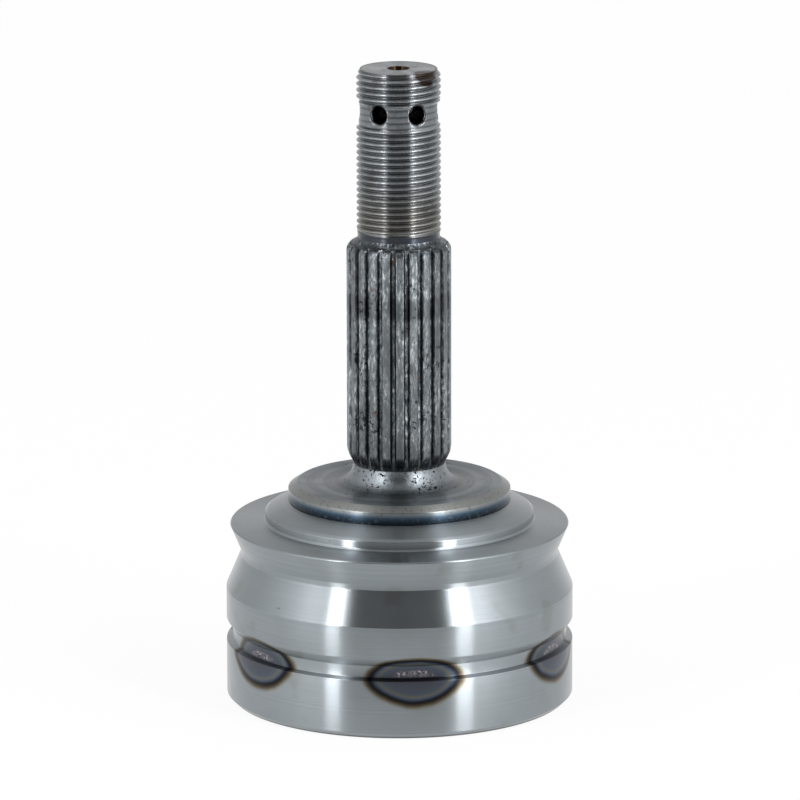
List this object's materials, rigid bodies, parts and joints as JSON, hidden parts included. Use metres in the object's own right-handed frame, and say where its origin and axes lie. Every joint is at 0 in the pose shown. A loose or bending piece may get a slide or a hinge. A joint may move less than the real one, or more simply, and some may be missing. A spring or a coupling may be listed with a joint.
{
  "type": "cv joint",
  "caption": "Ball-type constant-velocity joint: flared steel bell with a clamp groove, splined stub axle with a threaded end, and inside it inner race, cage and balls",
  "frame": {"origin": "centre of the bell's mouth face, on the joint's axis; the part stands on this face", "axes": "+Z runs along the axis from the mouth to the threaded end of the stub axle; -Y passes through the first ball track; +X completes a right-handed frame"},
  "size_m": [0.0828, 0.0828, 0.1523],
  "materials": {
    "turned_steel": "turned, satin, with heat tint over the ball tracks",
    "hardened_steel": "induction hardened, dark scale, finely pitted",
    "ground_steel": "ground",
    "phosphated_steel": "phosphated, dark grey",
    "spring_steel": "drawn wire",
    "bearing_steel": "lapped, polished"
  },
  "bodies": {
    "outer_race": {"bell_housing": "turned_steel", "stub_axle_flange": "hardened_steel", "stub_axle_spline": "hardened_steel", "stub_axle_thread": "hardened_steel"},
    "inner_race": {"inner_race": "ground_steel", "retaining_circlip": "spring_steel"},
    "ball_cage": {"ball_cage": "phosphated_steel"},
    "ball_1": {"ball_1": "bearing_steel"},
    "ball_2": {"ball_2": "bearing_steel"},
    "ball_3": {"ball_3": "bearing_steel"},
    "ball_4": {"ball_4": "bearing_steel"},
    "ball_5": {"ball_5": "bearing_steel"},
    "ball_6": {"ball_6": "bearing_steel"}
  },
  "joints": [
    {"name": "shaft_tilt", "type": "hinge", "parent": "outer_race", "child": "inner_race", "pos_m": [0, 0, 0.018], "axis": [1, 0, 0], "range_deg": [-45, 45]},
    {"name": "cage_tilt", "type": "hinge", "parent": "outer_race", "child": "ball_cage", "pos_m": [0, 0, 0.018], "axis": [1, 0, 0], "range_deg": [-22.6, 22.6]},
    {"name": "ball_1_travel", "type": "hinge", "parent": "outer_race", "child": "ball_1", "pos_m": [0, 0, 0.0145], "axis": [-1, 0, 0], "range_deg": [-22.6, 22.6]},
    {"name": "ball_2_travel", "type": "hinge", "parent": "outer_race", "child": "ball_2", "pos_m": [0, 0, 0.0145], "axis": [-0.5, -0.866, 0], "range_deg": [-11.8, 11.8]},
    {"name": "ball_3_travel", "type": "hinge", "parent": "outer_race", "child": "ball_3", "pos_m": [0, 0, 0.0145], "axis": [0.5, -0.866, 0], "range_deg": [-11.8, 11.8]},
    {"name": "ball_4_travel", "type": "hinge", "parent": "outer_race", "child": "ball_4", "pos_m": [0, 0, 0.0145], "axis": [1, 0, 0], "range_deg": [-22.6, 22.6]},
    {"name": "ball_5_travel", "type": "hinge", "parent": "outer_race", "child": "ball_5", "pos_m": [0, 0, 0.0145], "axis": [0.5, 0.866, 0], "range_deg": [-11.8, 11.8]},
    {"name": "ball_6_travel", "type": "hinge", "parent": "outer_race", "child": "ball_6", "pos_m": [0, 0, 0.0145], "axis": [-0.5, 0.866, 0], "range_deg": [-11.8, 11.8]}
  ],
  "couplings": [
    {"joint": "cage_tilt", "follows": "shaft_tilt", "ratio": 0.5},
    {"joint": "ball_1_travel", "follows": "shaft_tilt", "ratio": -0.5},
    {"joint": "ball_2_travel", "follows": "shaft_tilt", "ratio": -0.26},
    {"joint": "ball_3_travel", "follows": "shaft_tilt", "ratio": 0.26},
    {"joint": "ball_4_travel", "follows": "shaft_tilt", "ratio": 0.5},
    {"joint": "ball_5_travel", "follows": "shaft_tilt", "ratio": 0.26},
    {"joint": "ball_6_travel", "follows": "shaft_tilt", "ratio": -0.26}
  ]
}
